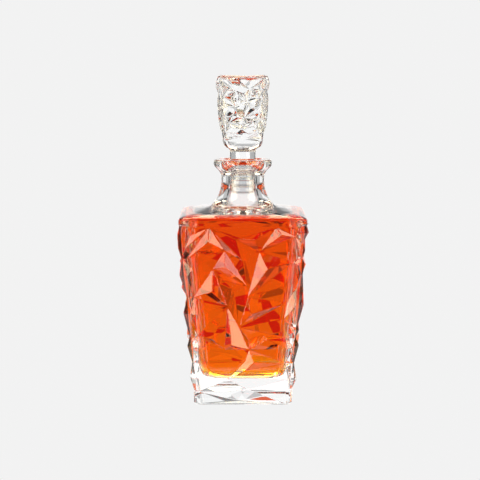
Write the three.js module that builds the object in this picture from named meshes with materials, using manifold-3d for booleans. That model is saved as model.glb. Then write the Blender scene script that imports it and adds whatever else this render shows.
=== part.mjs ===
// Square crystal decanter with a shard-cut body, a round neck with a poured lip, and a
// matching square stopper whose shank wears a clear sealing sleeve.
// Millimetres, +Z up. The origin is the middle of the foot's flat underside.
import * as THREE from 'three';
import { mergeVertices } from 'three/addons/utils/BufferGeometryUtils.js';
import Module from 'manifold-3d';

const wasm = await Module();
wasm.setup();

// ---------------------------------------------------------------- driving dimensions
const gap = 0.3;                  // clearance between separate pieces
const stepsPerQuarter = 10;       // points on each quarter turn of a round section

const footHalf = 39;              // half width of the cut faces at the table
const faceFlare = 0.081;          // how much the half width grows per mm of height
const bandFloor = 142;            // lower edge of the plain band above the cut faces
const lipTop = 191;               // top plane of the pouring lip
const baseBevel = 1.2;            // bevel around the underside

const boreRadius = 10.6;          // inside of the neck where the stopper seals
const liquidLevel = 147;          // surface of the whiskey

const shankRadius = 8.6;
const shankEnd = 169;
const stopperNeckRadius = 10.2;
const sleeveFoot = 165;
const sleeveTop = 187.5;
const sleeveRadius = 9.7;
const ribRadius = 10.3;

const headFloor = 208;            // lowest row of the stopper head's cut faces
const headTop = 256.5;
const headHalf = 16.9;            // half width of the head at headFloor
const headFlare = 0.09;

// ---------------------------------------------------------------- the cut of one body face
// Each node is [across, height, relief]: across is measured from the middle of the face,
// relief is how far the node stands in front of the face's plane. Stars are the sunk points
// where many cuts meet, peaks are the tips of the shards between them.
const bodyFace = {
  nodes: {
    // stars
    A: [-26, bandFloor, -0.6], B: [25.5, bandFloor, -0.6], C: [-5, 132, -2.4], E: [12.7, 122.4, -3],
    F: [-14, 123.3, -3], G: [-23.2, 109, -2.6], O: [3, 96, -1.8], M: [3.6, 86, -3],
    L: [-12.1, 79.6, -2.8], a: [-2.8, 62, -3.2], c: [5, 44.3, -3], b: [-14.4, 44.8, -2],
    u: [1.8, 35.5, -2.2], l: [-11.7, 20.7, -2.6], o: [-4.2, 3.4, -2.6],
    // peaks
    Q: [-26.8, 130.4, 2], W: [9.7, 132, 1.8], T: [29.8, 135.8, 1.8], D: [0.3, 115.3, 0.6],
    P: [-13.9, 111, 2], H: [19.5, 109.4, 2], N: [-6.7, 92.4, 1.6], K: [-23.8, 91.3, 2],
    X: [6.3, 73.7, 1.8], e: [-24, 53.7, 0.8], f: [-8.7, 48.7, 1.6], g: [4.5, 53, 0.4],
    t: [16.9, 56.4, -1.9], h: [18.9, 53.7, 1.8], m: [8.4, 35, 1.4], v: [1.8, 28, 0],
    s: [-12.5, 11, 0.4], w: [3, 13.5, 0.8],
    // nodes near the left corner, downwards
    V: [-41, 135, -2.2], R: [-43.6, 116.5, -2.6], r: [-39, 108.3, -1.6], J: [-38.6, 86.3, -3],
    j: [-36, 73, -0.4], d: [-35.7, 55.8, -2.6], k: [-34.8, 46.5, -0.4], p: [-34.4, 33.2, -3],
    x: [-33.8, 10.8, -1.4], y: [-33.6, baseBevel, -0.6],
    // nodes near the right corner, downwards
    U: [41, 134.5, -1.6], I: [38.2, 122.4, -1.4], i: [38.8, 114.4, -2.6], Z: [37.6, 97.3, -1],
    Y: [34.6, 82.4, -2.2], z: [31.9, 69, -0.8], n: [33, 54.6, -2.4], q: [35, 45.3, 0],
    S: [33.6, 33.5, -2.6], E2: [33.8, 10.2, -1.4], E3: [33.6, baseBevel, -0.6],
    o2: [-4.2, baseBevel, -0.8],
  },
  // corner posts as [height, relief, chamfer], downwards; the relief counts on both faces
  leftPost: [
    [bandFloor, -1.2, 5.5], [136, 0.8, 6.5], [125.5, 1.2, 6], [117.5, -0.8, 1], [104, 1.9, 6.5],
    [86, -2.7, 1], [73.5, 1.4, 6], [55, -1.8, 1], [47, 0.7, 5], [34.5, -2.1, 1], [22, 0.6, 4.5],
    [10.5, -2.2, 1], [baseBevel, -1.8, 1.5],
  ],
  rightPost: [
    [bandFloor, -1.2, 5.5], [137, 0.2, 6], [129, -2.6, 1.5], [122.5, -0.6, 5], [117.5, -2.2, 1],
    [112.5, 0.2, 5], [104.5, -1, 1.5], [95, 0.3, 5], [80.5, 2, 6.5], [64, -1.4, 1], [60, 0, 3],
    [54, -2, 1], [48, 1, 5], [34, -1.6, 1], [20, 1.6, 5], [11, -2.2, 1], [baseBevel, -1.8, 1.5],
  ],
  leftEdge: ['R', 'r', 'J', 'j', 'd', 'k', 'p', 'x', 'y'],
  rightEdge: ['U', 'I', 'i', 'Z', 'Y', 'z', 'n', 'q', 'S', 'E2', 'E3'],
  firstLeftPost: 2,
  firstRightPost: 0,
  // facets as three node names; l0, l1.. and r0, r1.. are the corner posts' nodes
  facets: `A-l0-V l0-l1-V V-l1-l2 A-V-l2 A-l2-R A-Q-R A-Q-F Q-R-F R-F-r F-r-G r-G-J G-J-K G-K-L J-K-L
    J-L-j j-L-d L-d-e L-e-b L-b-f L-f-a f-a-c d-e-b f-b-c N-L-a G-N-L G-O-N P-G-O F-P-G F-P-O F-D-O
    A-F-D A-C-D A-B-C B-C-W C-W-E C-D-E B-W-E B-T-E B-T-U B-r0-U T-U-E U-I-E E-I-i E-H-i E-H-M H-i-M
    D-E-O E-O-M N-O-a O-M-a M-X-a M-X-Y M-Z-Y i-Z-M X-Y-a a-Y-z a-z-n a-n-t a-t-g g-t-c a-g-c t-h-c
    t-n-h h-n-q c-h-q c-q-S c-S-m c-m-u m-S-v m-u-v d-b-k k-b-u k-u-p c-b-u p-u-l u-v-l v-S-w S-E2-w
    v-w-l l-w-s s-w-o p-l-x x-l-s x-s-o x-y-o y-o2-o o-o2-E3 w-o-E3 w-E2-E3`,
};

// ---------------------------------------------------------------- the cut of one stopper head face
const headFace = {
  nodes: {
    T: [-5, headTop - 0.8, -0.4], C: [-5.5, 245.5, -3.2], R: [5, 247, -2.2], F: [-9.5, 238.5, 0.9],
    G: [-5, 231.5, -3.2], H: [3.5, 237, 1], I: [12, 239.5, 0.6], M: [1, 224.5, 1.3],
    O: [-11, 220.5, 1.2], P: [-1.5, 215.5, -3], S: [1, headFloor, -0.4],
    a: [-15.8, 248, 0.7], b: [-15.5, 241, -2.3], c: [-14.6, 225.5, -2.4], d: [-13.8, 213.5, -1.6],
    e: [15.6, 247, -1.2], f: [13.8, 233.5, -2.4], g: [13.8, 223, -0.2], h: [12.8, 213, -2.2],
  },
  leftPost: [
    [headTop, -1.2, 1.5], [250.5, 0.7, 3.5], [241.5, -1.2, 1], [236, 0, 2.5], [230, 0.9, 3], [224.5, -1.2, 1],
    [218.5, 1.1, 2.2], [212, -1, 1], [headFloor, -1, 1.5],
  ],
  rightPost: [
    [headTop, -1.2, 1.5], [250.5, 0.7, 3.5], [244, -1, 1], [238.5, 0.2, 2], [230, 0.6, 3], [225.5, -1, 1],
    [218.5, 1.1, 2.5], [212, -1, 1], [headFloor, -1, 1.5],
  ],
  leftEdge: ['a', 'b', 'c', 'd'],
  rightEdge: ['e', 'f', 'g', 'h'],
  firstLeftPost: 0,
  firstRightPost: 0,
  facets: `l0-T-C l0-C-a T-R-C T-r0-R r0-e-R a-C-b b-C-F F-C-G b-F-G C-H-G C-R-H R-I-H R-e-I e-f-I
    I-f-H b-G-c c-G-O G-M-O G-H-M H-f-M f-g-M O-M-P M-g-P g-h-P c-O-d O-P-d d-P-S P-h-S d-l8-S
    S-r8-h`,
};

// ---------------------------------------------------------------- round and square sections
// A section is [height, half width, corner radius]; it is a circle where the two sizes agree.
const band = [
  [143.6, 50, 7.5], [146.4, 50, 8], [147.8, 49.3, 8.5], [148.8, 47.6, 10], [149.8, 44.5, 13],
  [151.2, 39, 18], [152.6, 33.5, 23], [154, 28.5, 26], [155.2, 25.2, 25.2],
];
const neck = [
  [156.4, 23.2], [158.2, 21.9], [160.6, 20.6], [163, 19.5], [165.6, 18.5], [168.8, 17.6], [172.6, 17.05],
  [177, 17.1], [179.8, 17.9], [182, 19.3], [184.2, 21.6], [185.6, 22.8], [187.4, 23.3], [189.2, 23.2],
  [190.4, 22.6], [lipTop, 21.6],
];
const cavity = [
  [20, 25, 9], [20.9, 29, 10], [23, 32, 10], [26.5, 33.8, 10], [30.5, 34.6, 10], [136, 44.8, 10.5],
  [140, 45.2, 10.5], [143, 44.9, 11], [145.8, 43.6, 12], [147.3, 41.6, 14], [148.4, 37.5, 18],
  [149.3, 31.5, 22], [150.4, 26, 24], [152, 21, 21], [154, 17.3, 17.3], [156.4, 14.6, 14.6],
  [159, 12.8, 12.8], [162, 11.6, 11.6], [165.5, 10.9, 10.9], [168.5, boreRadius, boreRadius],
  [184, boreRadius, boreRadius], [186, 11.6, 11.6], [188.6, 13.6, 13.6], [lipTop, 15.6, 15.6],
  [lipTop + 1, 16.6, 16.6],
];

function sectionPoints([height, half, corner]) {
  const points = [];
  for (let quarter = 0; quarter < 4; quarter += 1) {
    const middle = (quarter + 0.5) * Math.PI / 2;
    const centreX = Math.sign(Math.cos(middle)) * (half - corner);
    const centreY = Math.sign(Math.sin(middle)) * (half - corner);
    for (let step = 0; step < stepsPerQuarter; step += 1) {
      const angle = (quarter + (step + 0.5) / stepsPerQuarter) * Math.PI / 2;
      const x = centreX + corner * Math.cos(angle);
      const y = centreY + corner * Math.sin(angle);
      points.push(new THREE.Vector3(x, y, height));
    }
  }
  return points;
}

const circle = ([height, radius]) => [height, radius, radius];

// ---------------------------------------------------------------- stitching surfaces
const turnOf = (point) => (Math.atan2(point.y, point.x) + 2 * Math.PI) % (2 * Math.PI);

// The side wall between two closed loops that both run anticlockwise seen from above.
function wall(lower, upper) {
  const low = [...lower].sort((one, other) => turnOf(one) - turnOf(other));
  const high = [...upper].sort((one, other) => turnOf(one) - turnOf(other));
  const triangles = [];
  let i = 0;
  let j = 0;
  while (i < low.length || j < high.length) {
    const nextLow = i + 1 < low.length ? turnOf(low[i + 1]) : 2 * Math.PI + turnOf(low[0]);
    const nextHigh = j + 1 < high.length ? turnOf(high[j + 1]) : 2 * Math.PI + turnOf(high[0]);
    const lowHere = low[i % low.length];
    const highHere = high[j % high.length];
    if (j === high.length || (i < low.length && nextLow <= nextHigh)) {
      triangles.push([lowHere, low[(i + 1) % low.length], highHere]);
      i += 1;
    } else {
      triangles.push([lowHere, high[(j + 1) % high.length], highHere]);
      j += 1;
    }
  }
  return triangles;
}

function stack(loops) {
  return loops.slice(1).flatMap((loop, index) => wall(loops[index], loop));
}

function lid(loop, facesUp, dip = 0) {
  const ordered = [...loop].sort((one, other) => turnOf(one) - turnOf(other));
  const centre = new THREE.Vector3(0, 0, ordered[0].z - dip);
  return ordered.map((point, index) => {
    const next = ordered[(index + 1) % ordered.length];
    return facesUp ? [centre, point, next] : [centre, next, point];
  });
}

function closedLoft(sections) {
  const loops = sections.map(sectionPoints);
  return [...lid(loops[0], false), ...stack(loops), ...lid(loops.at(-1), true)];
}

// ---------------------------------------------------------------- the four cut faces of a square body
// The same cut is on every side, mirrored on alternate sides so that it meets itself at each corner.
function cutSides(face, halfAt) {
  const flat = { ...face.nodes };
  face.leftPost.forEach(([height, relief, chamfer], index) => {
    flat[`l${index}`] = [chamfer - halfAt(height) - relief, height, relief];
  });
  face.rightPost.forEach(([height, relief, chamfer], index) => {
    flat[`r${index}`] = [halfAt(height) + relief - chamfer, height, relief];
  });
  const facets = face.facets.trim().split(/\s+/).map((facet) => facet.split('-'));
  const leftPost = face.leftPost.map((_, index) => `l${index}`).slice(face.firstLeftPost);
  const rightPost = face.rightPost.map((_, index) => `r${index}`).slice(face.firstRightPost);
  facets.push(...strip(flat, leftPost, face.leftEdge), ...strip(flat, rightPost, face.rightEdge));

  const triangles = [];
  for (let side = 0; side < 4; side += 1) {
    const mirrored = side % 2 === 1;
    const place = (name) => {
      const [across, height, relief] = flat[name];
      const point = new THREE.Vector3(mirrored ? -across : across, -halfAt(height) - relief, height);
      return point.applyAxisAngle(new THREE.Vector3(0, 0, 1), side * Math.PI / 2);
    };
    for (const names of facets) {
      const anticlockwise = signedArea(names.map((name) => flat[name])) > 0;
      const corners = names.map(place);
      triangles.push(anticlockwise === mirrored ? corners.reverse() : corners);
    }
    if (!mirrored) {
      const turn = side * Math.PI / 2;
      triangles.push(...chamfered(face.leftPost, halfAt, -1, turn));
      triangles.push(...chamfered(face.rightPost, halfAt, 1, turn));
    }
  }
  return triangles;
}

// The chamfer down one corner, between the posts' nodes on its two faces.
// Hand is -1 for the left corner and 1 for the right one.
function chamfered(post, halfAt, hand, turn) {
  const rows = post.map(([height, relief, chamfer]) => {
    const out = halfAt(height) + relief;
    const onFace = new THREE.Vector3(hand * (out - chamfer), -out, height);
    const onNeighbour = new THREE.Vector3(hand * out, chamfer - out, height);
    return [onFace, onNeighbour].map((point) => point.applyAxisAngle(new THREE.Vector3(0, 0, 1), turn));
  });
  const triangles = [];
  for (let index = 0; index + 1 < rows.length; index += 1) {
    const [upperFace, upperNeighbour] = rows[index];
    const [lowerFace, lowerNeighbour] = rows[index + 1];
    triangles.push([upperFace, lowerFace, lowerNeighbour], [upperFace, lowerNeighbour, upperNeighbour]);
  }
  return hand > 0 ? triangles : triangles.map((corners) => corners.reverse());
}

// Facets between two chains of nodes that both run downwards.
function strip(flat, outer, inner) {
  const facets = [];
  let i = 0;
  let j = 0;
  while (i + 1 < outer.length || j + 1 < inner.length) {
    const outerNext = i + 1 < outer.length ? flat[outer[i + 1]][1] : -Infinity;
    const innerNext = j + 1 < inner.length ? flat[inner[j + 1]][1] : -Infinity;
    if (outerNext >= innerNext) {
      facets.push([outer[i], outer[i + 1], inner[j]]);
      i += 1;
    } else {
      facets.push([outer[i], inner[j + 1], inner[j]]);
      j += 1;
    }
  }
  return facets;
}

function signedArea([[ax, ay], [bx, by], [cx, cy]]) {
  return (bx - ax) * (cy - ay) - (cx - ax) * (by - ay);
}

// The loop of points that a set of side facets has at one height.
function loopAt(triangles, height) {
  const found = new Map();
  for (const point of triangles.flat()) {
    if (Math.abs(point.z - height) < 1e-6) {
      found.set(`${point.x.toFixed(4)},${point.y.toFixed(4)}`, point);
    }
  }
  return [...found.values()];
}

// ---------------------------------------------------------------- solids and meshes
function geometryOf(triangles) {
  const positions = triangles.flat().flatMap((point) => point.toArray());
  const geometry = new THREE.BufferGeometry();
  geometry.setAttribute('position', new THREE.Float32BufferAttribute(positions, 3));
  return mergeVertices(geometry, 1e-4);
}

function solidOf(triangles) {
  const geometry = geometryOf(triangles);
  const mesh = new wasm.Mesh({
    numProp: 3,
    vertProperties: new Float32Array(geometry.attributes.position.array),
    triVerts: new Uint32Array(geometry.index.array),
  });
  return new wasm.Manifold(mesh);
}

function geometryOfSolid(solid) {
  const { vertProperties, triVerts } = solid.getMesh();
  const geometry = new THREE.BufferGeometry();
  geometry.setAttribute('position', new THREE.BufferAttribute(vertProperties, 3));
  geometry.setIndex(new THREE.BufferAttribute(triVerts, 1));
  return geometry;
}

function piece(name, geometry, color, roughness, metalness) {
  const material = new THREE.MeshStandardMaterial({ color, roughness, metalness });
  const mesh = new THREE.Mesh(geometry, material);
  mesh.name = name;
  return mesh;
}

// ---------------------------------------------------------------- the bottle
function bottle() {
  const halfAt = (height) => footHalf + faceFlare * height;
  const sides = cutSides(bodyFace, halfAt);
  const footEdge = loopAt(sides, baseBevel);
  const inset = 1 - baseBevel / footHalf;
  const underside = footEdge.map((point) => new THREE.Vector3(point.x * inset, point.y * inset, 0));
  const shoulderAndNeck = [...band, ...neck.map(circle)].map(sectionPoints);
  const outside = solidOf([
    ...lid(underside, false),
    ...wall(underside, footEdge),
    ...sides,
    ...stack([loopAt(sides, bandFloor), ...shoulderAndNeck]),
    ...lid(shoulderAndNeck.at(-1), true),
  ]);
  const hollow = solidOf(closedLoft(cavity));
  return piece('bottle', geometryOfSolid(outside.subtract(hollow)), 0xdfe6e4, 0.04, 0);
}

// ---------------------------------------------------------------- the whiskey
// It fills the hollow up to its level, a clearance away from the glass.
function whiskeyFill() {
  const shrink = ([height, half, corner]) => {
    const lift = height < footHalf ? gap : -gap;
    return [height + lift, half - gap, corner - gap];
  };
  const sections = cavity.map(shrink);
  const above = sections.findIndex(([height]) => height > liquidLevel);
  const [low, high] = [sections[above - 1], sections[above]];
  const share = (liquidLevel - low[0]) / (high[0] - low[0]);
  const surface = low.map((value, index) => value + share * (high[index] - value));
  const filled = closedLoft([...sections.slice(0, above), surface]);
  return piece('whiskey_fill', geometryOf(filled), 0xd9600c, 0.02, 0);
}

// ---------------------------------------------------------------- the stopper
function stopper() {
  const halfAt = (height) => headHalf + headFlare * (height - headFloor);
  const sides = cutSides(headFace, halfAt);
  const topEdge = [...loopAt(sides, headTop), ...loopAt(sides, headTop - 0.8)];
  const rim = topEdge.map((point) => new THREE.Vector3(point.x * 0.92, point.y * 0.92, point.z + 0.8));
  const shank = [
    [shankEnd, shankRadius - 1.6], [shankEnd + 0.5, shankRadius - 0.5], [shankEnd + 1.6, shankRadius],
    [sleeveTop + gap, shankRadius], [sleeveTop + 2 * gap, stopperNeckRadius - 0.3],
    [sleeveTop + 1.2, stopperNeckRadius], [196.5, stopperNeckRadius], [198.8, 10.8],
  ].map(circle);
  const underHead = [
    [199.8, 11.9, 11.4], [200.6, 13.4, 11], [201.8, 14.6, 10], [203.6, 15.4, 8], [205.8, 15.9, 6],
  ];
  const shankLoops = [...shank, ...underHead].map(sectionPoints);
  const solid = solidOf([
    ...lid(shankLoops[0], false),
    ...stack([...shankLoops, loopAt(sides, headFloor)]),
    ...sides,
    ...wall(topEdge, rim),
    ...lid(rim, true, 1.6),
  ]);
  return piece('stopper', geometryOfSolid(solid), 0xe2e7e8, 0.04, 0);
}

// ---------------------------------------------------------------- the clear sealing sleeve
function stopperSeal() {
  const inner = shankRadius + gap;
  const ribs = [173, 178, 183];
  const outline = [[inner, sleeveFoot], [sleeveRadius - 0.3, sleeveFoot], [sleeveRadius, sleeveFoot + 0.4]];
  for (const height of ribs) {
    outline.push([sleeveRadius, height - 0.9]);
    outline.push([ribRadius, height - 0.3]);
    outline.push([ribRadius, height + 0.3]);
    outline.push([sleeveRadius, height + 0.9]);
  }
  outline.push([sleeveRadius, sleeveTop - 1.7], [11, sleeveTop - 1.1], [11, sleeveTop]);
  outline.push([inner, sleeveTop], [inner, sleeveFoot]);
  const profile = outline.map(([radius, height]) => new THREE.Vector2(radius, height));
  const geometry = new THREE.LatheGeometry(profile, 4 * stepsPerQuarter);
  geometry.rotateX(Math.PI / 2);
  return piece('stopper_seal', geometry, 0xc9c6d6, 0.25, 0);
}

const decanter = new THREE.Group();
decanter.add(bottle(), whiskeyFill(), stopper(), stopperSeal());

export default decanter;
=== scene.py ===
"""Cut crystal decanter with amber whiskey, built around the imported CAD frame. Metres, +Z up."""
import math

import bmesh
import bpy
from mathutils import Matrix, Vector


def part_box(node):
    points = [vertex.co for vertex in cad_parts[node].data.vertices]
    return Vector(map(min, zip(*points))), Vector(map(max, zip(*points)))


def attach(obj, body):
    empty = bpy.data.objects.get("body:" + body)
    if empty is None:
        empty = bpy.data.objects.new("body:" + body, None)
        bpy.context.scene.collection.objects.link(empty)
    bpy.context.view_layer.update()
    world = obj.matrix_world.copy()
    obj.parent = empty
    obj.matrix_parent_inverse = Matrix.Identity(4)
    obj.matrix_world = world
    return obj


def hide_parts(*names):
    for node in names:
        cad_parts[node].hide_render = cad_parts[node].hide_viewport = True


# ---------------------------------------------------------------- named values, in metres
MM = 0.001
GLASS_IOR = 1.52
WHISKEY_IOR = 1.36

# the bottle, from the table up
BEVEL_TOP = 1.3 * MM              # the underside and the bevel around it lie below this height
SOLID_BASE = 15 * MM              # below this there is glass all through
CAVITY_FLOOR = 30 * MM            # the rounded floor of the hollow lies below this
FLOOR_SLOPE = 0.1                 # faces of the hollow that look up more than this are its floor
CUT_TOP = 143.65 * MM             # above this the outside of the bottle is plain
FACE_HALF = 39 * MM               # half width of the cut faces at the table
FACE_FLARE = 0.081                # growth of that half width per unit of height
RELIEF_DEPTH = 4.5 * MM           # more than the deepest cut

# the cut edges and facets
POLISH = 0.45 * MM                # width of the fire-polished rounding on a cut edge
SHARP_ANGLE = math.radians(4)     # flatter edges than this are left as they are
HEAD_CUT_FLOOR = 207.9 * MM       # the stopper head is cut above this height
HEAD_HOLLOW = 0.16                # depth of the hollow in a head facet, as a share of its size

# the whiskey
LIQUID_GAP = 0.3 * MM             # the clearance the CAD keeps around the liquid
LIQUID_OVERLAP = 0.15 * MM        # how far the shown liquid reaches into the glass
SHEEN_LIFT = 0.05 * MM            # height of the reflecting skin over the liquid
SAME_LEVEL = 0.01 * MM            # points this close to the liquid's level are on its top
NEAR_LEVEL = 0.1 * MM             # faces this close to it are left as triangles
RIM_REACH = 15 * MM               # the top's points further out than this are on its rim

CAMERA_PLACE = Vector((-2.2, -1300, 281.1)) * MM
CAMERA_TARGET = Vector((-2.2, 0, 126.1)) * MM
CAMERA_LENS = 122.7
SENSOR_WIDTH = 36

BACKGROUND = 0.889                # linear value of the pale backdrop as the camera sees it
FLOOR_GLOW = 1.15                 # the lamps make the floor brighter than it looks beside the object
FLOOR_RADIUS = 0.16
FLOOR_MIDDLE = 0.09               # the floor reaches further behind the object than in front
FLOOR_DROP = 0.5 * MM             # keeps the floor clear of the underside
POOL_HALF = (0.35, 0.16)          # half width and half depth of the amber light on the table
POOL_MIDDLE = 0.36                # how far behind the object it lies
POOL_DROP = 1 * MM
POOL_COLOUR = (0.75, 0.1, 0.02)

# Studio light, in degrees. Azimuth is measured from straight behind the object, and each light stands
# on both sides alike. A later light covers an earlier one. Warmth is 1 for a lamp and 0 for a board.
# azimuth, half width, height, half height, softness of the edge, brightness, warmth
DARK_ROOM = 0.04
LIGHTS = (
    (90, 28, -42, 28, 10, 1.2, 0),       # low boards at the sides
    (90, 28, 37, 23, 10, 0.6, 0),        # dimmer boards above them, with a dark gap at eye level
    (42, 17, 6, 19, 6, 0.5, 0),          # flanks of the backdrop
    (0, 25, 2, 14, 6, 1.02, 0),          # backdrop
    (0, 25, 20, 5, 6, 0.55, 0),          # its dimmer top
    (131, 14, 18, 30, 3, 7.0, 1),        # softboxes beside the camera
    (0, 24, 48, 14, 3, 4.5, 1),          # high lamp behind the object
)
WARM_TINT = (1.1, 0.96, 0.66, 1)


# ---------------------------------------------------------------- node helpers
def new_material(name):
    material = bpy.data.materials.new(name)
    material.use_nodes = True
    material.node_tree.nodes.clear()
    return material


def node(tree, kind, **values):
    made = tree.nodes.new(kind)
    for key, value in values.items():
        setattr(made, key, value)
    return made


def surface_noise(tree, scale, detail=2.0):
    place = node(tree, "ShaderNodeTexCoord")
    noise = node(tree, "ShaderNodeTexNoise")
    noise.inputs["Scale"].default_value = scale
    noise.inputs["Detail"].default_value = detail
    tree.links.new(place.outputs["Object"], noise.inputs["Vector"])
    return noise.outputs["Fac"]


def ranged(tree, value, low, high):
    spread = node(tree, "ShaderNodeMapRange")
    spread.inputs["To Min"].default_value = low
    spread.inputs["To Max"].default_value = high
    tree.links.new(value, spread.inputs["Value"])
    return spread.outputs["Result"]


def bumped(tree, value, distance):
    bump = node(tree, "ShaderNodeBump")
    bump.inputs["Strength"].default_value = 1.0
    bump.inputs["Distance"].default_value = distance
    tree.links.new(value, bump.inputs["Height"])
    return bump.outputs["Normal"]


# ---------------------------------------------------------------- materials
def clear_material(name, tint, ior, specular, wave_scale, wave_height, roughness=(0.0, 0.02)):
    """A clear body whose skin has the faint waves and polish marks of pressed glass."""
    material = new_material(name)
    tree = material.node_tree
    shader = node(tree, "ShaderNodeBsdfPrincipled")
    shader.inputs["Base Color"].default_value = (*tint, 1)
    shader.inputs["Transmission Weight"].default_value = 1.0
    shader.inputs["IOR"].default_value = ior
    shader.inputs["Specular IOR Level"].default_value = specular
    waves = surface_noise(tree, wave_scale)
    tree.links.new(bumped(tree, waves, wave_height), shader.inputs["Normal"])
    polish = surface_noise(tree, 260.0, 4.0)
    tree.links.new(ranged(tree, polish, *roughness), shader.inputs["Roughness"])
    output = node(tree, "ShaderNodeOutputMaterial")
    tree.links.new(shader.outputs["BSDF"], output.inputs["Surface"])
    return material


def crystal():
    return clear_material("crystal", (0.985, 0.992, 0.99), GLASS_IOR, 0.5, 55.0, 0.00002)


def wetted_crystal():
    """The inside of the glass below the liquid's level, where hardly any light is reflected."""
    return clear_material("crystal_wetted", (1, 1, 1), GLASS_IOR, 0.0, 55.0, 0.00002)


def sleeve_plastic():
    return clear_material("sleeve_plastic", (0.9, 0.91, 0.925), 1.45, 0.5, 400.0, 0.00001, (0.02, 0.08))


def whiskey_sheen():
    """Reflects as the top of a liquid does and otherwise lets everything through."""
    material = new_material("whiskey_surface")
    tree = material.node_tree
    ripple = bumped(tree, surface_noise(tree, 40.0), 0.000004)
    share = node(tree, "ShaderNodeFresnel")
    share.inputs["IOR"].default_value = WHISKEY_IOR
    tree.links.new(ripple, share.inputs["Normal"])
    gloss = node(tree, "ShaderNodeBsdfGlossy")
    gloss.inputs["Roughness"].default_value = 0.01
    tree.links.new(ripple, gloss.inputs["Normal"])
    mix = node(tree, "ShaderNodeMixShader")
    tree.links.new(share.outputs["Fac"], mix.inputs[0])
    tree.links.new(node(tree, "ShaderNodeBsdfTransparent").outputs["BSDF"], mix.inputs[1])
    tree.links.new(gloss.outputs["BSDF"], mix.inputs[2])
    output = node(tree, "ShaderNodeOutputMaterial")
    tree.links.new(mix.outputs["Shader"], output.inputs["Surface"])
    return material


def whiskey():
    material = clear_material("whiskey", (1, 1, 1), WHISKEY_IOR, 0.0, 30.0, 0.000005, (0.0, 0.01))
    tree = material.node_tree
    absorb = node(tree, "ShaderNodeVolumeAbsorption")
    absorb.inputs["Color"].default_value = (0.995, 0.885, 0.12, 1)
    absorb.inputs["Density"].default_value = 250.0
    output = next(item for item in tree.nodes if item.type == "OUTPUT_MATERIAL")
    tree.links.new(absorb.outputs["Volume"], output.inputs["Volume"])
    return material


# ---------------------------------------------------------------- mesh helpers
def mesh_copy(source):
    """A bmesh of a CAD node with its corners welded and its flat facets whole."""
    bm = bmesh.new()
    bm.from_mesh(source.data)
    bmesh.ops.remove_doubles(bm, verts=bm.verts, dist=2e-6)
    bmesh.ops.dissolve_degenerate(bm, edges=bm.edges, dist=2e-6)
    return bm


def object_from(bm, name):
    mesh = bpy.data.meshes.new(name)
    bm.to_mesh(mesh)
    bm.free()
    piece = bpy.data.objects.new(name, mesh)
    bpy.context.scene.collection.objects.link(piece)
    return piece


def square_off(bm, faces):
    """Joins pairs of triangles into quads on the plain surfaces."""
    bmesh.ops.join_triangles(
        bm, faces=faces, cmp_seam=False, cmp_sharp=False, cmp_uvs=False, cmp_vcols=False,
        cmp_materials=False, angle_face_threshold=math.radians(40),
        angle_shape_threshold=math.radians(60),
    )


def polish_cuts(bm, is_cut):
    """Rounds the edges between cut facets, as fire polishing does, and marks the facets left flat."""
    flat = bm.faces.layers.int.new("flat")
    plain = []
    for face in bm.faces:
        face[flat] = int(all(is_cut(vertex.co) for vertex in face.verts))
        if not face[flat]:
            plain.append(face)
    square_off(bm, plain)
    edges = [
        edge for edge in bm.edges
        if len(edge.link_faces) == 2 and any(face[flat] for face in edge.link_faces)
        and edge.calc_face_angle(0) > SHARP_ANGLE
    ]
    rounded = bmesh.ops.bevel(
        bm, geom=edges, offset=POLISH, offset_type="OFFSET", segments=2, profile=0.5,
        affect="EDGES", clamp_overlap=False, loop_slide=True, miter_outer="SHARP",
    )
    for face in rounded["faces"]:
        face[flat] = 0
    bm.normal_update()


def keep_facets_flat(piece):
    """Gives each vertex of a flat facet that facet's normal, so only the rounded edges look curved."""
    mesh = piece.data
    flat = mesh.attributes["flat"].data
    facet_sum = [Vector() for _ in mesh.vertices]
    area_sum = [Vector() for _ in mesh.vertices]
    for polygon in mesh.polygons:
        polygon.use_smooth = True
        weighted = polygon.normal * polygon.area
        for index in polygon.vertices:
            area_sum[index] += weighted
            if flat[polygon.index].value:
                facet_sum[index] += weighted
    normals = [
        (facets if facets.length > 0 else everything).normalized()
        for facets, everything in zip(facet_sum, area_sum)
    ]
    mesh.normals_split_custom_set_from_vertices(normals)


def smooth_shading(piece, sharp_degrees):
    for polygon in piece.data.polygons:
        polygon.use_smooth = True
    piece.data.set_sharp_from_angle(angle=math.radians(sharp_degrees))


def dress(piece, *materials):
    piece.data.materials.clear()
    for material in materials:
        piece.data.materials.append(material)


def declare(piece, body, cad_node):
    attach(piece, body)
    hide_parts(cad_node)


# ---------------------------------------------------------------- the pieces
def on_cut_outside(point):
    reach = max(abs(point.x), abs(point.y))
    return point.z < CUT_TOP and reach > FACE_HALF + FACE_FLARE * point.z - RELIEF_DEPTH


def is_bottle_cut(point):
    return point.z < BEVEL_TOP or on_cut_outside(point)


def is_head_cut(point):
    return point.z > HEAD_CUT_FLOOR


def is_wetted(polygon, level):
    """True on the walls and the floor of the hollow below the liquid's level."""
    middle = polygon.center
    inside = not on_cut_outside(middle) and SOLID_BASE < middle.z < level
    faces_axis = polygon.normal.x * middle.x + polygon.normal.y * middle.y < 0
    is_floor = middle.z < CAVITY_FLOOR and polygon.normal.z > FLOOR_SLOPE
    return inside and (faces_axis or is_floor)


def make_bottle(frame, level):
    bm = mesh_copy(frame["nodes"]["bottle"])
    polish_cuts(bm, is_bottle_cut)
    piece = object_from(bm, "decanter_bottle")
    keep_facets_flat(piece)
    dress(piece, crystal(), wetted_crystal())
    for polygon in piece.data.polygons:
        polygon.material_index = int(is_wetted(polygon, level))
    declare(piece, "bottle", "bottle")


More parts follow.
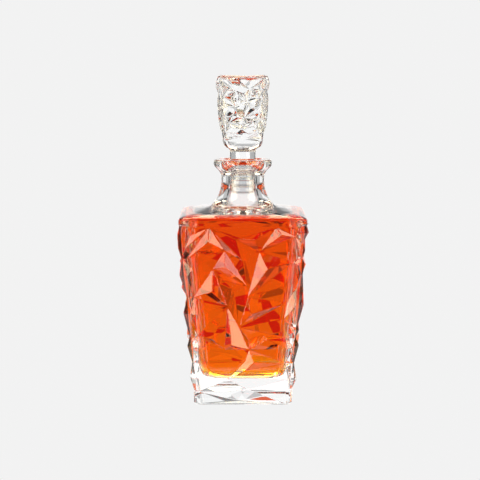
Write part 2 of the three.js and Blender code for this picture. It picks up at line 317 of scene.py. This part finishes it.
def make_whiskey(frame, level):
    """The liquid, swollen until it wets the glass, with its top left at its level."""
    bm = mesh_copy(frame["nodes"]["whiskey_fill"])
    square_off(bm, [face for face in bm.faces if face.calc_center_median().z < level - NEAR_LEVEL])
    bm.normal_update()
    outward = [vertex.normal.copy() for vertex in bm.verts]
    for index, vertex in enumerate(bm.verts):
        if abs(vertex.co.z - level) < SAME_LEVEL:
            across = Vector((vertex.co.x, vertex.co.y, 0))
            outward[index] = across.normalized() if across.length > RIM_REACH else Vector()
    for vertex, direction in zip(bm.verts, outward):
        vertex.co += direction * (LIQUID_GAP + LIQUID_OVERLAP)
    piece = object_from(bm, "whiskey_liquid")
    smooth_shading(piece, 50)
    dress(piece, whiskey())
    declare(piece, "bottle", "whiskey_fill")


def make_whiskey_sheen(frame, level):
    """The reflecting skin of the whiskey, a hair above it."""
    bm = mesh_copy(frame["nodes"]["whiskey_fill"])
    lower = [face for face in bm.faces if face.calc_center_median().z < level - SAME_LEVEL]
    bmesh.ops.delete(bm, geom=lower, context="FACES")
    for vertex in bm.verts:
        vertex.co.z += SHEEN_LIFT
    piece = object_from(bm, "whiskey_surface")
    dress(piece, whiskey_sheen())
    declare(piece, "bottle", "whiskey_fill")


def make_stopper(frame):
    bm = mesh_copy(frame["nodes"]["stopper"])
    cuts = [face for face in bm.faces if all(is_head_cut(vertex.co) for vertex in face.verts)]
    bmesh.ops.poke(bm, faces=cuts, offset=-HEAD_HOLLOW, center_mode="MEAN", use_relative_offset=True)
    polish_cuts(bm, is_head_cut)
    piece = object_from(bm, "decanter_stopper")
    keep_facets_flat(piece)
    dress(piece, crystal())
    declare(piece, "stopper", "stopper")


def make_sleeve(frame):
    bm = mesh_copy(frame["nodes"]["stopper_seal"])
    square_off(bm, bm.faces[:])
    piece = object_from(bm, "stopper_sleeve")
    smooth_shading(piece, 35)
    dress(piece, sleeve_plastic())
    declare(piece, "seal", "stopper_seal")


# ---------------------------------------------------------------- camera, floor and light
def aim(thing, place, target):
    thing.location = place
    thing.rotation_mode = "QUATERNION"
    thing.rotation_quaternion = (target - place).to_track_quat("-Z", "Y")


def make_camera():
    data = bpy.data.cameras.new("camera")
    data.lens = CAMERA_LENS
    data.sensor_width = SENSOR_WIDTH
    data.clip_end = 50
    camera = bpy.data.objects.new("camera", data)
    bpy.context.scene.collection.objects.link(camera)
    aim(camera, CAMERA_PLACE, CAMERA_TARGET)
    bpy.context.scene.camera = camera


def glowing(name, colour):
    material = new_material(name)
    tree = material.node_tree
    glow = node(tree, "ShaderNodeEmission")
    glow.inputs["Color"].default_value = (*colour, 1)
    output = node(tree, "ShaderNodeOutputMaterial")
    tree.links.new(glow.outputs["Emission"], output.inputs["Surface"])
    return material, glow


def make_floor():
    bm = bmesh.new()
    bmesh.ops.create_circle(bm, cap_ends=True, segments=96, radius=FLOOR_RADIUS)
    floor = object_from(bm, "floor")
    floor.location = (0, FLOOR_MIDDLE, -FLOOR_DROP)
    material, glow = glowing("pale_floor", (1, 1, 1))
    tree = material.node_tree
    seen = node(tree, "ShaderNodeLightPath").outputs["Is Camera Ray"]
    tree.links.new(ranged(tree, seen, FLOOR_GLOW, BACKGROUND), glow.inputs["Strength"])
    floor.data.materials.append(material)


def make_light_pool():
    """The amber light that the lamps throw through the whiskey on to the table behind it.

    Only the glass and the whiskey show it: the camera doesn't see it directly.
    """
    bm = bmesh.new()
    bmesh.ops.create_grid(bm, x_segments=1, y_segments=1, size=1)
    pool = object_from(bm, "light_pool")
    pool.scale = (*POOL_HALF, 1)
    pool.location = (0, POOL_MIDDLE, -POOL_DROP)
    pool.visible_camera = False
    pool.data.materials.append(glowing("amber_light", POOL_COLOUR)[0])


class Sky:
    """Builds the studio's light as a function of direction."""

    def __init__(self, tree):
        self.tree = tree
        place = node(tree, "ShaderNodeTexCoord")
        split = node(tree, "ShaderNodeSeparateXYZ")
        tree.links.new(place.outputs["Generated"], split.inputs[0])
        x, y, z = split.outputs
        from_camera = self.math("ARCTAN2", x, self.math("MULTIPLY", y, -1.0))
        self.azimuth = self.math("SUBTRACT", math.pi, self.math("ABSOLUTE", from_camera))
        self.height = self.math("ARCSINE", z)

    def math(self, operation, *values):
        made = node(self.tree, "ShaderNodeMath", operation=operation)
        for socket, value in zip(made.inputs, values):
            if isinstance(value, (int, float)):
                socket.default_value = value
            else:
                self.tree.links.new(value, socket)
        return made.outputs[0]

    def clamp(self, value):
        made = node(self.tree, "ShaderNodeClamp")
        self.tree.links.new(value, made.inputs["Value"])
        return made.outputs[0]

    def within(self, value, middle, half, soft):
        """1 where value lies within half of middle, falling to 0 over soft; all in degrees."""
        away = self.math("ABSOLUTE", self.math("SUBTRACT", value, math.radians(middle)))
        edge = self.math("SUBTRACT", math.radians(half + soft / 2), away)
        return self.clamp(self.math("DIVIDE", edge, math.radians(soft)))

    def window(self, azimuth, half_width, height, half_height, soft):
        across = self.within(self.azimuth, azimuth, half_width, soft)
        along = self.within(self.height, height, half_height, soft)
        return self.math("MULTIPLY", across, along)

    def blend(self, base, level, share):
        """base where share is 0 and level where share is 1."""
        gap = self.math("SUBTRACT", level, base)
        return self.math("MULTIPLY_ADD", share, gap, base)


def colour_between(tree, share, first, second):
    """A colour that is first where share is 0 and second where share is 1."""
    mix = node(tree, "ShaderNodeMix", data_type="RGBA")
    tree.links.new(share, mix.inputs["Factor"])
    for socket in mix.inputs:
        if socket.identifier == "A_Color":
            socket.default_value = first
        if socket.identifier == "B_Color":
            socket.default_value = second
    return next(socket for socket in mix.outputs if socket.identifier == "Result_Color")


def make_world():
    world = bpy.data.worlds.new("studio")
    bpy.context.scene.world = world
    world.use_nodes = True
    tree = world.node_tree
    tree.nodes.clear()
    sky = Sky(tree)
    brightness = DARK_ROOM
    warmth = 0.0
    for azimuth, half_width, height, half_height, soft, light, warm in LIGHTS:
        share = sky.window(azimuth, half_width, height, half_height, soft)
        brightness = sky.blend(brightness, light, share)
        warmth = sky.blend(warmth, float(warm), share)
    seen = node(tree, "ShaderNodeLightPath").outputs["Is Camera Ray"]
    brightness = sky.blend(brightness, BACKGROUND, seen)
    warmth = sky.blend(warmth, 0.0, seen)
    background = node(tree, "ShaderNodeBackground")
    tree.links.new(colour_between(tree, warmth, (1, 1, 1, 1), WARM_TINT), background.inputs["Color"])
    tree.links.new(brightness, background.inputs["Strength"])
    output = node(tree, "ShaderNodeOutputWorld")
    tree.links.new(background.outputs["Background"], output.inputs["Surface"])


def make_look():
    scene = bpy.context.scene
    scene.view_settings.view_transform = "Standard"
    scene.view_settings.look = "None"
    scene.cycles.max_bounces = 40
    scene.cycles.transmission_bounces = 40
    scene.cycles.glossy_bounces = 12
    scene.cycles.use_denoising = True
    scene.cycles.sample_clamp_indirect = 2.5


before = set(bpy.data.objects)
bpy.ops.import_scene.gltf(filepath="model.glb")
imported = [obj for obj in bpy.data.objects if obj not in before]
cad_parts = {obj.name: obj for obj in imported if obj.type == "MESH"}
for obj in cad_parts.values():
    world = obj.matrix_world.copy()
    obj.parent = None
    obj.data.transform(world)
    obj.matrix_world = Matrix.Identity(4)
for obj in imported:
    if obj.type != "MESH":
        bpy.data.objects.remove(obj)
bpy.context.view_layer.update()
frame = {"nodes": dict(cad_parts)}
liquid_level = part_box("whiskey_fill")[1].z

make_camera()
make_floor()
make_light_pool()
make_world()
make_look()
make_bottle(frame, liquid_level)
make_whiskey(frame, liquid_level)
make_whiskey_sheen(frame, liquid_level)
make_stopper(frame)
make_sleeve(frame)
